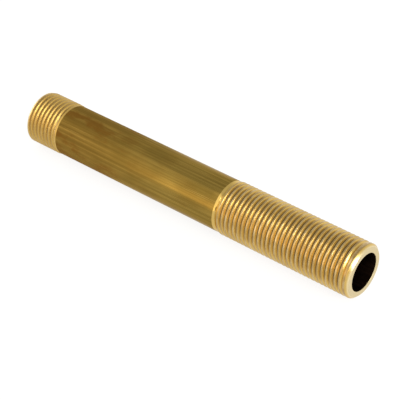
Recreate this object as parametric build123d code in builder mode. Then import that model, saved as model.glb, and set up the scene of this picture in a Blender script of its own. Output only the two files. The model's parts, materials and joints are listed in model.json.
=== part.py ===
from build123d import *
from build123d.topology import SkipClean
import math
import os

# Long-thread pipe nipple: one length of drawn brass tube with a parallel G 1/2 pipe thread
# cut on each end, a long one that takes a lock nut and a short one that screws into a fitting.
# The tube lies along X with its axis on the X axis and its middle at the origin.
# The long thread is at the +X end, the short thread at the -X end. +Z is up.

# Tube
overall_length = 150.0
shank_diameter = 20.0
bore_diameter = 14.5

# Threads: Whitworth flanks and pitch line of G 1/2, with the crests left flat
threads_per_inch = 14
pitch = 25.4 / threads_per_inch
flank_half_angle = 27.5
pitch_diameter = 19.793
root_diameter = 18.631
crest_diameter = 20.5
long_thread_length = 58.6
short_thread_length = 15.0

# End chamfers, and the relief and run-out where the threads meet the shank
long_end_chamfer = 1.1
short_end_chamfer = 0.4
bore_chamfer = 0.15
relief_diameter = 18.4
relief_floor_width = 0.6
relief_to_groove = 0.35
short_runout = 1.56
cutter_overshoot = 0.3

# The blank is turned as equal sectors, so that a thread crest is a run of short faces.
sector_count = 8
sector_angle = 360 / sector_count
first_sector_angle = 15.0

shank_radius = shank_diameter / 2
crest_radius = crest_diameter / 2
root_radius = root_diameter / 2
relief_radius = relief_diameter / 2
bore_radius = bore_diameter / 2

long_end = overall_length / 2
short_end = -overall_length / 2
long_thread_start = long_end - long_thread_length
short_thread_start = short_end + short_thread_length

# The relief beside the long thread: a 45 degree shoulder down from the shank, a narrow floor,
# and a flank like the thread's own up to the first crest
flank_slope = math.tan(math.radians(flank_half_angle))
shoulder_foot = long_thread_start + shank_radius - relief_radius
relief_end = shoulder_foot + relief_floor_width
first_crest = relief_end + (crest_radius - relief_radius) * flank_slope


def groove_half_width(radius):
    """Half the groove's width at a radius. On the pitch line it is a quarter of the pitch."""
    return pitch / 4 + (radius - pitch_diameter / 2) * flank_slope


def helical_cutter(start, turns):
    """What the threading tool sweeps: a right-hand helical ridge along +X, one edge for each turn."""
    top_radius = crest_radius + cutter_overshoot
    with BuildPart() as cutter:
        with BuildLine() as path:
            for turn in range(turns):
                Helix(pitch, pitch, root_radius, center=(start + turn * pitch, 0, 0), direction=(1, 0, 0))
        # The helix starts straight above the axis. Local x is the radius, local y runs along the tube.
        with BuildSketch(Plane(origin=(start, 0, 0), x_dir=(0, 0, 1), z_dir=(0, 1, 0))):
            with BuildLine():
                Polyline(
                    (root_radius, -groove_half_width(root_radius)),
                    (top_radius, -groove_half_width(top_radius)),
                    (top_radius, groove_half_width(top_radius)),
                    (root_radius, groove_half_width(root_radius)),
                    close=True,
                )
            make_face()
        sweep(path=path.line, is_frenet=True)
    return cutter.part


# Each cutter runs out past its end of the tube.
long_turns = math.ceil(long_thread_length / pitch) + 1
short_turns = math.ceil(short_thread_length / pitch) + 1
long_cutter = helical_cutter(shoulder_foot + relief_to_groove, long_turns)
short_cutter_start = short_thread_start - short_runout - short_turns * pitch
short_cutter = helical_cutter(short_cutter_start, short_turns)

# Nipple: the turned blank with its bore, then the two threads
with SkipClean():
    with BuildPart() as nipple:
        for sector in range(sector_count):
            turned = Plane.XY.rotated((first_sector_angle + sector * sector_angle, 0, 0))
            # Local x runs along the tube and local y is the radius.
            with BuildSketch(turned):
                with BuildLine():
                    Polyline(
                        (short_end, bore_radius + bore_chamfer),
                        (short_end, crest_radius - short_end_chamfer),
                        (short_end + short_end_chamfer, crest_radius),
                        (short_thread_start, crest_radius),
                        (short_thread_start, shank_radius),
                        (long_thread_start, shank_radius),
                        (shoulder_foot, relief_radius),
                        (relief_end, relief_radius),
                        (first_crest, crest_radius),
                        (long_end - long_end_chamfer, crest_radius),
                        (long_end, crest_radius - long_end_chamfer),
                        (long_end, bore_radius + bore_chamfer),
                        (long_end - bore_chamfer, bore_radius),
                        (short_end + bore_chamfer, bore_radius),
                        close=True,
                    )
                make_face()
            revolve(axis=Axis.X, revolution_arc=sector_angle, clean=False)
        add(long_cutter, mode=Mode.SUBTRACT, clean=False)
        add(short_cutter, mode=Mode.SUBTRACT, clean=False)

os.makedirs("parts", exist_ok=True)
nipple.part.label = "nipple"
export_step(nipple.part, "parts/nipple.step")
face_count = len(nipple.part.faces())
print(f"nipple: {face_count} faces, {nipple.part.volume:.0f} mm3, valid {nipple.part.is_valid}")
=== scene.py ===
import json
import math

import bmesh
import bpy
import numpy as np
from mathutils import Matrix, Vector


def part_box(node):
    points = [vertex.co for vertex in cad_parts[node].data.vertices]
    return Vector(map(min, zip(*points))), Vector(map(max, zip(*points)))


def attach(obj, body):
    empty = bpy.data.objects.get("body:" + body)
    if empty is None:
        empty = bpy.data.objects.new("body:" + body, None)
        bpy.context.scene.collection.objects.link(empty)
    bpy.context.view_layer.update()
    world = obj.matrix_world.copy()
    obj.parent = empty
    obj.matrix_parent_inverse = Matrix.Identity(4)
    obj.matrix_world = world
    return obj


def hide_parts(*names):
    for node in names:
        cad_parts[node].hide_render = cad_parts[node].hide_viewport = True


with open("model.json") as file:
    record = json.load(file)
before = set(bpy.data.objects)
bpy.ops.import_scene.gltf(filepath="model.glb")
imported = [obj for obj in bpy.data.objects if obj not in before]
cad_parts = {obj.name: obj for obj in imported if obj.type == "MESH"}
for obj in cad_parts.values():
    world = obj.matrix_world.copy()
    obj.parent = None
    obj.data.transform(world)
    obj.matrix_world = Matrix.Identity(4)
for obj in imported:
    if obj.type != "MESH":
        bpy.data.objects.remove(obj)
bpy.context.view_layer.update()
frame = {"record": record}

# ---------------------------------------------------------------------------------------------
# Sizes, in metres. The tube lies along X; +Z is up. Its box and its bore come from the frame.
# ---------------------------------------------------------------------------------------------
MM = 0.001
mounts = {mount["name"]: mount for mount in frame["record"]["mounts"]}
low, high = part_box("nipple")
half_length = high.x
crest_radius = min(high.y, high.z)
bore_radius = mounts["bore"]["dims"]["r_mm"] * MM

# Whitworth pipe thread: 14 turns to the inch, flanks at 27.5 degrees, crests left flat
pitch = 25.4 * MM / 14
flank_slope = math.tan(math.radians(27.5))
pitch_radius = 9.8965 * MM
root_radius = 9.3155 * MM
long_root_rounding = 0.09 * MM
long_crest_rounding = 0.12 * MM
short_root_rounding = 0.12 * MM
short_crest_rounding = 0.14 * MM

# Long thread at the +X end: shoulder, relief and first crest
shank_radius = 10.0 * MM
relief_radius = 9.2 * MM
relief_floor_width = 0.1 * MM
relief_to_groove = 0.35 * MM
shoulder_start = 16.4 * MM
shoulder_foot = shoulder_start + shank_radius - relief_radius
relief_end = shoulder_foot + relief_floor_width
first_crest = relief_end + (crest_radius - relief_radius) * flank_slope
long_groove = shoulder_foot + relief_to_groove

# Short thread at the -X end, where its last turn fades out beside the shank
short_start = -60.0 * MM
short_runout = 1.56 * MM
short_fade_length = 1.6 * MM
shank_inset = 0.25 * MM
short_groove = short_start - short_runout
short_fade_end = short_start - short_fade_length

# Ends: a rounded bevel at the long thread's, where the groove fades out too, and a small bevel at
# the short thread's
long_chamfer = 1.1 * MM
short_chamfer = 0.4 * MM
bore_chamfer = 0.12 * MM
bevel_rounding = 0.8 * MM
long_face_rounding = 0.30 * MM
short_face_rounding = 0.12 * MM
groove_fade_start = 4.2 * MM
groove_fade_stop = 1.2 * MM
long_last_crest = half_length - long_chamfer
short_last_crest = short_chamfer - half_length
groove_full = half_length - groove_fade_start
groove_gone = half_length - groove_fade_stop

# The surface is a grid of rows round the tube, and each rounding is an arc of a few steps.
columns = 128
end_steps = 14
shank_rows = 28
bore_rows = 24
root_steps = 3
crest_steps = 2
face_steps = 3
bevel_steps = 5
weld_distance = 1e-7

# The UV sheet, which is 1 wide and 1 high, has two islands side by side.
sheet_margin = 0.01
outside_width = 0.58
bore_left = 0.62
bore_width = 0.37

# The tube's three materials, in the order of its slots
CUT_SLOT, DRAWN_SLOT, BORE_SLOT = range(3)


# ---------------------------------------------------------------------------------------------
# The tube's mesh
# ---------------------------------------------------------------------------------------------
def rounded(corner, before, after, radius, steps):
    """Points of the arc that rounds a corner between two neighbouring points of an outline."""
    corner = Vector(corner)
    back = (Vector(before) - corner).normalized()
    onward = (Vector(after) - corner).normalized()
    half_angle = back.angle(onward) / 2
    middle = (back + onward).normalized()
    centre = corner + middle * (radius / math.sin(half_angle))
    start = corner + back * (radius / math.tan(half_angle)) - centre
    turn = start.angle_signed(-middle) * 2
    points = []
    for step in range(steps + 1):
        angle = -turn * step / steps
        arm = Vector((start.x * math.cos(angle) - start.y * math.sin(angle),
                      start.x * math.sin(angle) + start.y * math.cos(angle)))
        points.append(centre + arm)
    return points


def thread_outline(root_rounding, crest_rounding):
    """Half a groove, from its middle to the middle of the crest: (distance, radius) points."""
    root_half = pitch / 4 + (root_radius - pitch_radius) * flank_slope
    crest_half = pitch / 4 + (crest_radius - pitch_radius) * flank_slope
    groove_middle = (0, root_radius)
    root_corner = (root_half, root_radius)
    crest_corner = (crest_half, crest_radius)
    crest_middle = (pitch / 2, crest_radius)
    points = rounded(root_corner, groove_middle, crest_corner, root_rounding, root_steps)
    points += rounded(crest_corner, root_corner, crest_middle, crest_rounding, crest_steps)
    return points


def outline_radius(outline, distance):
    """Radius of a thread at a distance along X from the middle of its groove."""
    folded = np.abs((distance + pitch / 2) % pitch - pitch / 2)
    return np.interp(folded, [p.x for p in outline], [p.y for p in outline])


def faded(x, radius):
    """A thread's radius, with the groove getting shallower towards the +X end."""
    share = np.clip((groove_gone - x) / (groove_gone - groove_full), 0, 1)
    return crest_radius - (crest_radius - radius) * share * share * (3 - 2 * share)


# One angle for each column, counted from +Y towards +Z. The last column closes the ring.
angles = np.arange(columns + 1) * (2 * math.pi / columns)
# A right-hand groove moves along +X as it turns from +Z towards -Y. Its place is its x at +Z.
advance = pitch * (angles / (2 * math.pi) - 0.25)


def helical_rows(outline, groove, start, stop):
    """Rows that follow a thread between two planes, each as its x and radius at every column."""
    distances = [-p.x for p in reversed(outline)] + [p.x for p in outline]
    first_turn = math.floor((start - groove) / pitch) - 1
    last_turn = math.ceil((stop - groove) / pitch) + 1
    rows = []
    for turn in range(first_turn, last_turn + 1):
        for distance in distances:
            x = np.clip(groove + turn * pitch + distance + advance, start, stop)
            rows.append((x, faded(x, outline_radius(outline, x - groove - advance))))
    return rows


def ring(x, radius):
    """A row in one plane across the tube, at one radius."""
    return np.full(columns + 1, x), np.full(columns + 1, radius)


def end_zone_rows(outline, groove, start, stop, limit):
    """Rings between two planes, where a thread is cut away by a cone or fades into the shank."""
    rows = []
    for x in np.linspace(start, stop, end_steps):
        thread = faded(x, outline_radius(outline, x - groove - advance))
        rows.append((np.full(columns + 1, x), limit(x, thread)))
    return rows


def long_beginning(x, thread):
    """The long thread rises from the relief on a cone as steep as its own flanks."""
    return np.minimum(thread, relief_radius + (x - relief_end) / flank_slope)


def short_fade(x, thread):
    """The short thread's last turn sinks to the shank's radius."""
    share = min(max((short_start - x) / (short_start - short_fade_end), 0), 1)
    return shank_radius + (thread - shank_radius) * share


def short_end(x, thread):
    """The short thread's end is cut away by the 45 degree cone of its bevel."""
    return np.minimum(thread, crest_radius - (short_last_crest - x))


def face_corner(chamfer, rounding):
    """The rounded edge between an end face and its bevel, as for an end at +X."""
    corner = (half_length, crest_radius - chamfer)
    bore_edge = (half_length, bore_radius + bore_chamfer)
    last_crest = (half_length - chamfer, crest_radius)
    return rounded(corner, bore_edge, last_crest, rounding, face_steps)


def tube_rows():
    """All rows in order: along the bore towards +X, out over that end, back outside, and in."""
    long_outline = thread_outline(long_root_rounding, long_crest_rounding)
    short_outline = thread_outline(short_root_rounding, short_crest_rounding)
    long_face = face_corner(long_chamfer, long_face_rounding)
    short_face = face_corner(short_chamfer, short_face_rounding)
    bevel_corner = (long_last_crest, crest_radius)
    on_crest = (groove_full, crest_radius)
    bevel = rounded(bevel_corner, long_face[-1], on_crest, bevel_rounding, bevel_steps)
    edge = bore_radius + bore_chamfer
    inside = half_length - bore_chamfer
    shank_end = short_start + shank_inset
    rows = [ring(x, bore_radius) for x in np.linspace(-inside, inside, bore_rows)]
    rows.append(ring(half_length, edge))
    rows += [ring(p.x, p.y) for p in long_face]
    rows += [ring(p.x, p.y) for p in bevel]
    rows += reversed(helical_rows(long_outline, long_groove, first_crest, bevel[-1].x))
    rows += end_zone_rows(long_outline, long_groove, first_crest, relief_end, long_beginning)
    rows.append(ring(relief_end, relief_radius))
    rows.append(ring(shoulder_foot, relief_radius))
    rows += [ring(x, shank_radius) for x in np.linspace(shoulder_start, shank_end, shank_rows)]
    rows += end_zone_rows(short_outline, short_groove, short_start, short_fade_end, short_fade)
    rows += reversed(helical_rows(short_outline, short_groove, short_last_crest, short_fade_end))
    rows += end_zone_rows(short_outline, short_groove, short_last_crest, -short_face[-1].x, short_end)
    rows += [ring(-p.x, p.y) for p in reversed(short_face)]
    rows.append(ring(-half_length, edge))
    rows.append(rows[0])
    return rows


def grid_faces(row_count):
    """The four corners of each face between neighbouring rows and columns."""
    count = columns + 1
    faces = []
    for row in range(row_count - 1):
        for column in range(columns):
            corner = row * count + column
            faces.append((corner, corner + count, corner + count + 1, corner + 1))
    return faces


def unwrapped(x, radius):
    """For each row, its island's left side and width, and its own height on the UV sheet."""
    steps = np.hypot(np.diff(x.mean(axis=1)), np.diff(radius.mean(axis=1)))
    run = np.concatenate([[0], np.cumsum(steps)])
    bore_length = run[bore_rows - 1]
    in_bore = np.arange(len(run)) < bore_rows - 1
    start = np.where(in_bore, 0, bore_length)
    length = np.where(in_bore, bore_length, run[-1] - bore_length)
    left = np.where(in_bore, bore_left, sheet_margin)
    width = np.where(in_bore, bore_width, outside_width)
    return left, width, sheet_margin + (1 - 2 * sheet_margin) * (run - start) / length


def add_bake_map(mesh, faces, x, radius):
    """The UV layer to bake to: the bore is one island, all the rest the other."""
    left, width, along = unwrapped(x, radius)
    count = columns + 1
    corners = np.array(faces).reshape(-1)
    row = np.repeat(np.array(faces)[:, 0] // count, 4)
    u = left[row] + width[row] * (corners % count) / columns
    v = along[corners // count]
    layer = mesh.uv_layers.new(name="OFBake")
    layer.data.foreach_set("uv", np.stack([u, v], axis=-1).reshape(-1))


def assign_materials(faces):
    """The bore and the shank have their own materials; threads, relief and ends are cut metal."""
    # More than the bore's wall and less than the middle of its bevel, which is cut metal
    bore_limit = bore_radius + 0.3 * bore_chamfer
    for face in faces:
        face.smooth = True
        centre = face.calc_center_median()
        if math.hypot(centre.y, centre.z) < bore_limit:
            face.material_index = BORE_SLOT
        elif short_start < centre.x < shoulder_start:
            face.material_index = DRAWN_SLOT
        else:
            face.material_index = CUT_SLOT


def make_tube():
    rows = tube_rows()
    x = np.array([row[0] for row in rows])
    radius = np.array([row[1] for row in rows])
    around = angles.copy()
    around[-1] = 0.0
    points = np.stack([x, radius * np.cos(around), radius * np.sin(around)], axis=-1).reshape(-1, 3)
    faces = grid_faces(len(rows))
    mesh = bpy.data.meshes.new("nipple_brass")
    mesh.from_pydata(points.tolist(), [], faces)
    add_bake_map(mesh, faces, x, radius)
    work = bmesh.new()
    work.from_mesh(mesh)
    bmesh.ops.remove_doubles(work, verts=work.verts, dist=weld_distance)
    bmesh.ops.dissolve_degenerate(work, edges=work.edges, dist=weld_distance)
    bmesh.ops.recalc_face_normals(work, faces=work.faces)
    assign_materials(work.faces)
    work.to_mesh(mesh)
    work.free()
    tube = bpy.data.objects.new("nipple_brass", mesh)
    bpy.context.scene.collection.objects.link(tube)
    tube.modifiers.new("flat_faces", "WEIGHTED_NORMAL")
    return tube


# ---------------------------------------------------------------------------------------------
# Shader graphs
# ---------------------------------------------------------------------------------------------
class Graph:
    """Short calls that add nodes to a node tree and return the socket they make."""

    def __init__(self, tree):
        self.tree = tree

    def node(self, kind, **settings):
        made = self.tree.nodes.new(kind)
        for name, value in settings.items():
            setattr(made, name, value)
        return made

    def put(self, socket, value):
        """A socket takes a link, a number or a colour."""
        if isinstance(value, bpy.types.NodeSocket):
            self.tree.links.new(value, socket)
        elif isinstance(value, tuple) and socket.type == "RGBA":
            socket.default_value = (*value, 1)
        else:
            socket.default_value = value

    def split(self, vector):
        """The vector's x, y and z."""
        parts = self.node("ShaderNodeSeparateXYZ")
        self.put(parts.inputs[0], vector)
        return parts.outputs

    def math(self, operation, first, second=0.0):
        made = self.node("ShaderNodeMath", operation=operation)
        self.put(made.inputs[0], first)
        self.put(made.inputs[1], second)
        return made.outputs[0]

    def add(self, first, second):
        return self.math("ADD", first, second)

    def subtract(self, first, second):
        return self.math("SUBTRACT", first, second)

    def multiply(self, first, second):
        return self.math("MULTIPLY", first, second)

    def absolute(self, value):
        return self.math("ABSOLUTE", value)

    def ramp(self, value, start, end, low=0.0, high=1.0):
        """Goes smoothly from low to high while the value goes from start to end."""
        made = self.node("ShaderNodeMapRange", interpolation_type="SMOOTHSTEP")
        settings = (value, start, end, low, high)
        for socket, setting in zip(made.inputs, settings):
            self.put(socket, setting)
        return made.outputs[0]

    def mix_colour(self, share, first, second):
        made = self.node("ShaderNodeMix", data_type="RGBA")
        self.put(made.inputs["Factor"], share)
        self.put(made.inputs[6], first)
        self.put(made.inputs[7], second)
        return made.outputs[2]

    def tint(self, colour, mask, amount, other):
        """The colour, with that amount of the other one where the mask is full."""
        return self.mix_colour(self.multiply(mask, amount), colour, other)


# ---------------------------------------------------------------------------------------------
# Materials
# ---------------------------------------------------------------------------------------------
CUT_PALE = (0.74, 0.63, 0.38)
CUT_GOLD = (0.66, 0.455, 0.13)
CUT_DEEP = (0.40, 0.25, 0.065)
CREST_TAN = (0.40, 0.262, 0.100)
CREST_BRIGHT = (0.56, 0.41, 0.20)
# Near-black painted shade for the bottoms of the thread grooves
ROOT_PAINTED_SHADE = (0.060, 0.032, 0.010)
FACE_PALE = (0.80, 0.665, 0.385)
DRAWN_OLIVE = (0.255, 0.168, 0.036)
DRAWN_GOLD = (0.350, 0.228, 0.050)
DRAWN_DARK = (0.165, 0.105, 0.018)
DRAWN_STAIN = (0.205, 0.100, 0.016)
EDGE_BROWN = (0.80, 0.70, 0.56)
# Near-black painted shade for the inside of the bore
BORE_SHADE_BLACK = (0.012, 0.007, 0.005)
BORE_SHADE_BROWN = (0.026, 0.014, 0.008)

# Each range runs from where a zone of the surface begins to where it is full. These are radii.
CREST_RANGE = (crest_radius - 0.10 * MM, crest_radius - 0.03 * MM)
ROOT_RANGE = (root_radius + 0.11 * MM, root_radius + 0.03 * MM)
UPPER_FLANK_RANGE = (root_radius + 0.12 * MM, root_radius + 0.30 * MM)
# These are along X: from the foot of the shoulder, from the tube's middle, and as a place.
NECK_RANGE = (1.0 * MM, 0.7 * MM)
FACE_RANGE = (half_length - 0.9 * MM, half_length - 0.2 * MM)
STAIN_RANGE = (-18 * MM, -45 * MM)

# Marks left by the tool, in grains to the metre: rings by radius, turned lines by place along X
RINGS_PER_METRE = 22000
TURNED_PER_METRE = 14000

# How deep a bump of full height is
CUT_BUMP = 0.0035 * MM
DRAWN_BUMP = 0.0025 * MM
BORE_BUMP = 0.004 * MM


class Brass(Graph):
    """A metal's node graph, with the places on the tube that its details follow."""

    def __init__(self, name):
        self.material = bpy.data.materials.new(name)
        self.material.use_nodes = True
        super().__init__(self.material.node_tree)
        self.shader = self.tree.nodes["Principled BSDF"]
        self.shader.inputs["Metallic"].default_value = 1
        place = self.node("ShaderNodeTexCoord").outputs["Object"]
        self.x, self.y, self.z = self.split(place)
        square = self.add(self.multiply(self.y, self.y), self.multiply(self.z, self.z))
        self.radius = self.math("SQRT", square)

    def towards_short(self):
        """Goes from 0 at the shank's shoulder to 1 at the short thread."""
        return self.ramp(self.x, shoulder_start, short_start)

    def stretched(self, along, around):
        """The place with its X, and its Y and Z, scaled: a noise on it is drawn out or squeezed."""
        made = self.node("ShaderNodeCombineXYZ")
        self.put(made.inputs[0], self.multiply(self.x, along))
        self.put(made.inputs[1], self.multiply(self.y, around))
        self.put(made.inputs[2], self.multiply(self.z, around))
        return made.outputs[0]

    def noise(self, along, around, detail, roughness=0.5):
        """Noise from 0 to 1, with that many grains to the metre along the tube and across it."""
        made = self.node("ShaderNodeTexNoise")
        self.put(made.inputs["Vector"], self.stretched(along, around))
        self.put(made.inputs["Scale"], 1.0)
        self.put(made.inputs["Detail"], detail)
        self.put(made.inputs["Roughness"], roughness)
        return made.outputs["Fac"]

    def lines(self, value, scale):
        """Noise of one value alone: lines wherever that value is the same."""
        made = self.node("ShaderNodeTexNoise", noise_dimensions="1D")
        self.put(made.inputs["W"], self.multiply(value, scale))
        self.put(made.inputs["Scale"], 1.0)
        self.put(made.inputs["Detail"], 2.0)
        return made.outputs["Fac"]

    def finish(self, colour, roughness, height, depth):
        """Puts the colour, the roughness and a bump of that depth on the metal."""
        self.put(self.shader.inputs["Base Color"], colour)
        self.put(self.shader.inputs["Roughness"], roughness)
        bump = self.node("ShaderNodeBump")
        bump.inputs["Strength"].default_value = 1.0
        bump.inputs["Distance"].default_value = depth
        self.put(bump.inputs["Height"], height)
        self.put(self.shader.inputs["Normal"], bump.outputs["Normal"])
        return self.material


class CutBrass(Brass):
    """The metal of the threads and ends, with the masks of its zones and of the marks on it."""

    def __init__(self, name):
        super().__init__(name)
        from_neck = self.absolute(self.subtract(self.x, shoulder_foot))
        self.crest = self.ramp(self.radius, *CREST_RANGE)
        self.root = self.ramp(self.radius, *ROOT_RANGE)
        self.upper_flank = self.ramp(self.radius, *UPPER_FLANK_RANGE)
        self.neck = self.ramp(from_neck, *NECK_RANGE)
        self.faced = self.ramp(self.absolute(self.x), *FACE_RANGE)
        self.duller = self.towards_short()
        self.rings = self.lines(self.radius, RINGS_PER_METRE)
        self.turned = self.lines(self.x, TURNED_PER_METRE)
        self.patches = self.ramp(self.noise(170, 170, 3.0), 0.35, 0.68)
        self.speckle = self.ramp(self.noise(1900, 1900, 2.0), 0.56, 0.70)
        self.smear = self.ramp(self.noise(900, 260, 3.0), 0.42, 0.66)


def flank_colour(brass):
    """Pale beside the root and gold above it and in the neck, with patches and tool rings."""
    golden = brass.math("MAXIMUM", brass.upper_flank, brass.neck)
    colour = brass.mix_colour(golden, CUT_PALE, CUT_GOLD)
    colour = brass.tint(colour, brass.patches, 0.25, CUT_DEEP)
    return brass.tint(colour, brass.ramp(brass.rings, 0.3, 0.7), 0.20, CUT_DEEP)


def crest_colour(brass):
    """Tan with bright smears and dark specks, and darker on the short thread."""
    colour = brass.mix_colour(brass.smear, CREST_TAN, CREST_BRIGHT)
    colour = brass.tint(colour, brass.speckle, 0.65, CUT_DEEP)
    return brass.tint(colour, brass.duller, 0.7, CUT_DEEP)


def cut_colour(brass):
    """Flanks and crests, then the painted shade of the roots and the pale end faces."""
    # Painted shade darkens the thread roots, much less in the neck
    root_shade_share = brass.multiply(brass.root, brass.ramp(brass.neck, 0, 1, 0.9, 0.15))
    colour = brass.mix_colour(brass.crest, flank_colour(brass), crest_colour(brass))
    colour = brass.tint(colour, brass.duller, 0.32, CUT_DEEP)
    colour = brass.mix_colour(root_shade_share, colour, ROOT_PAINTED_SHADE)
    return brass.tint(colour, brass.faced, 0.8, FACE_PALE)


def cut_roughness(brass):
    """Ringed and patchy, shinier on the crests and most in the neck, duller on the short thread."""
    polish = brass.multiply(brass.crest, brass.ramp(brass.smear, 0, 1, 0.04, 0.13))
    roughness = brass.ramp(brass.rings, 0.2, 0.8, 0.24, 0.34)
    roughness = brass.add(roughness, brass.multiply(brass.patches, 0.07))
    roughness = brass.subtract(roughness, polish)
    roughness = brass.add(roughness, brass.multiply(brass.root, 0.10))
    roughness = brass.add(roughness, brass.multiply(brass.duller, 0.14))
    return brass.subtract(roughness, brass.multiply(brass.neck, 0.27))


def cut_brass():
    """Fresh metal of the threads and ends, with rings and lines left by the tool."""
    brass = CutBrass("brass_cut")
    crest_marks = brass.multiply(brass.crest, brass.subtract(brass.turned, brass.speckle))
    height = brass.add(brass.rings, crest_marks)
    return brass.finish(cut_colour(brass), cut_roughness(brass), height, CUT_BUMP)


def drawn_brass():
    """The tube's own surface: olive tarnish, streaked along it, duller and stained by the short thread."""
    brass = Brass("brass_drawn")
    towards_short = brass.towards_short()
    broad = brass.ramp(brass.noise(14, 620, 3.0), 0.36, 0.64)
    fine = brass.ramp(brass.noise(14, 1700, 3.0, 0.7), 0.40, 0.60)
    tone = brass.ramp(brass.noise(55, 150, 3.0), 0.36, 0.64)
    stain = brass.ramp(brass.noise(75, 190, 4.0, 0.6), 0.47, 0.60)
    stain = brass.multiply(stain, brass.ramp(brass.x, *STAIN_RANGE, 0.15, 1.0))
    scratch = brass.ramp(brass.noise(34, 4200, 1.0), 0.68, 0.74)
    scratch = brass.multiply(scratch, brass.ramp(brass.noise(28, 240, 1.0), 0.48, 0.60))
    grain = brass.noise(2600, 2600, 2.0)

    colour = brass.mix_colour(broad, DRAWN_OLIVE, DRAWN_GOLD)
    colour = brass.tint(colour, tone, 0.55, DRAWN_DARK)
    colour = brass.tint(colour, fine, 0.50, DRAWN_DARK)
    colour = brass.tint(colour, stain, 0.85, DRAWN_STAIN)
    colour = brass.mix_colour(brass.ramp(towards_short, 0.35, 1.0, 0.0, 0.22), colour, DRAWN_STAIN)
    colour = brass.tint(colour, scratch, 0.45, CUT_GOLD)
    brass.put(brass.shader.inputs["Specular Tint"], EDGE_BROWN)

    roughness = brass.ramp(towards_short, 0.0, 1.0, 0.19, 0.62)
    roughness = brass.add(roughness, brass.ramp(broad, 0, 1, 0.05, -0.03))
    roughness = brass.add(roughness, brass.multiply(brass.add(fine, grain), 0.05))

    height = brass.add(brass.multiply(fine, 0.6), brass.multiply(broad, 0.9))
    height = brass.subtract(height, brass.multiply(scratch, 1.5))
    height = brass.add(height, brass.multiply(grain, 0.4))
    return brass.finish(colour, roughness, height, DRAWN_BUMP)


def bore_brass():
    """The bore: near-black painted shade with faint draw marks."""
    brass = Brass("brass_bore")
    streaks = brass.ramp(brass.noise(30, 900, 3.0), 0.35, 0.7)
    mottle = brass.noise(260, 260, 3.0)
    # Painted shade inside the bore, streaked along it by the draw marks
    colour = brass.mix_colour(streaks, BORE_SHADE_BLACK, BORE_SHADE_BROWN)
    roughness = brass.ramp(mottle, 0.3, 0.7, 0.45, 0.62)
    return brass.finish(colour, roughness, streaks, BORE_BUMP)


# ---------------------------------------------------------------------------------------------
# Floor, light and camera
# ---------------------------------------------------------------------------------------------
FLOOR_REACH = 12.0
FLOOR_GAP = 0.02 * MM
FLOOR_GREY = (0.14, 0.14, 0.14)
FLOOR_GLOW = (1, 1, 1)
FLOOR_GLOW_STRENGTH = 0.86
FLOOR_ROUGHNESS = 0.9

BACKDROP_LOW = (1.14, 1.13, 1.10)
BACKDROP_HIGH = (0.74, 0.74, 0.72)
FRONT_LOW = (2.15, 1.85, 1.50)
FRONT_HIGH = (1.50, 1.42, 1.28)
DARK_PATCH = (0.06, 0.045, 0.03)

KEY_PLACE = (0.88, -0.18, 0.46)
KEY_WIDTH = 0.50
KEY_HEIGHT = 0.34
KEY_POWER = 6.0

CAMERA_PLACE = (0.2814, -0.3401, 0.3264)
CAMERA_RIGHT = (0.7738, 0.6335, 0)
CAMERA_FORWARD = (-0.5066, 0.6188, -0.6003)
CAMERA_LENS = 135.5
CAMERA_SENSOR = 36
CAMERA_NEAREST = 0.01


def make_floor():
    """A grey floor that glows, so that it stays near white while the light on the brass is soft."""
    level = low.z - FLOOR_GAP
    sides = ((-1, -1), (1, -1), (1, 1), (-1, 1))
    corners = [(x * FLOOR_REACH, y * FLOOR_REACH, level) for x, y in sides]
    mesh = bpy.data.meshes.new("floor")
    mesh.from_pydata(corners, [], [(0, 1, 2, 3)])
    floor = bpy.data.objects.new("floor", mesh)
    bpy.context.scene.collection.objects.link(floor)
    material = bpy.data.materials.new("floor_white")
    material.use_nodes = True
    graph = Graph(material.node_tree)
    shader = graph.tree.nodes["Principled BSDF"]
    graph.put(shader.inputs["Base Color"], FLOOR_GREY)
    graph.put(shader.inputs["Roughness"], FLOOR_ROUGHNESS)
    graph.put(shader.inputs["Emission Color"], FLOOR_GLOW)
    graph.put(shader.inputs["Emission Strength"], FLOOR_GLOW_STRENGTH)
    mesh.materials.append(material)


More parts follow.
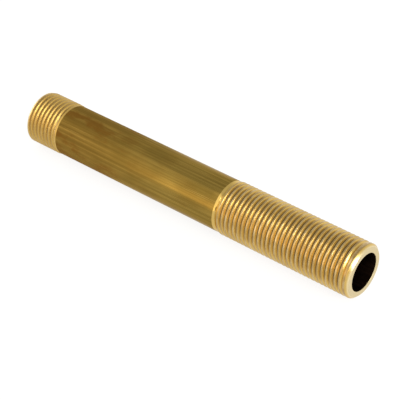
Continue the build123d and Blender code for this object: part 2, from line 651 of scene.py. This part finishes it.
def make_world():
    """A pale studio: a soft backdrop, a brighter warm side towards the viewer, and a dark patch."""
    world = bpy.data.worlds.new("studio")
    bpy.context.scene.world = world
    world.use_nodes = True
    graph = Graph(world.node_tree)
    x, y, z = graph.split(graph.node("ShaderNodeTexCoord").outputs["Generated"])
    back = graph.mix_colour(graph.ramp(z, 0.0, 0.8), BACKDROP_LOW, BACKDROP_HIGH)
    front = graph.mix_colour(graph.ramp(z, 0.10, 0.65), FRONT_LOW, FRONT_HIGH)
    near_side = graph.multiply(graph.ramp(y, -0.14, -0.46), graph.ramp(x, -0.50, -0.62, 1.0, 0.30))
    sides = graph.mix_colour(near_side, back, front)
    low_right = graph.multiply(graph.ramp(x, 0.35, 0.6), graph.ramp(y, 0.0, -0.15))
    low_right = graph.multiply(low_right, graph.ramp(z, 0.26, 0.20))
    sky = graph.mix_colour(low_right, sides, DARK_PATCH)
    graph.put(graph.tree.nodes["Background"].inputs["Color"], sky)


def make_key_light():
    """One soft area light beyond the long thread's end, aimed at the middle of the tube."""
    light = bpy.data.lights.new("key", "AREA")
    light.shape = "RECTANGLE"
    light.size = KEY_WIDTH
    light.size_y = KEY_HEIGHT
    light.energy = KEY_POWER
    key = bpy.data.objects.new("key", light)
    bpy.context.scene.collection.objects.link(key)
    key.location = KEY_PLACE
    key.rotation_euler = (-Vector(KEY_PLACE)).to_track_quat("-Z", "Y").to_euler()


def make_camera():
    data = bpy.data.cameras.new("camera")
    data.lens = CAMERA_LENS
    data.sensor_width = CAMERA_SENSOR
    data.clip_start = CAMERA_NEAREST
    camera = bpy.data.objects.new("camera", data)
    bpy.context.scene.collection.objects.link(camera)
    right = Vector(CAMERA_RIGHT).normalized()
    forward = Vector(CAMERA_FORWARD).normalized()
    up = right.cross(forward)
    turned = Matrix((right, up, -forward)).transposed().to_4x4()
    camera.matrix_world = Matrix.Translation(CAMERA_PLACE) @ turned
    bpy.context.scene.camera = camera


tube = make_tube()
tube.data.materials.append(cut_brass())
tube.data.materials.append(drawn_brass())
tube.data.materials.append(bore_brass())
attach(tube, "root")
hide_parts("nipple")
make_floor()
make_world()
make_key_light()
make_camera()
bpy.context.scene.view_settings.view_transform = "Standard"
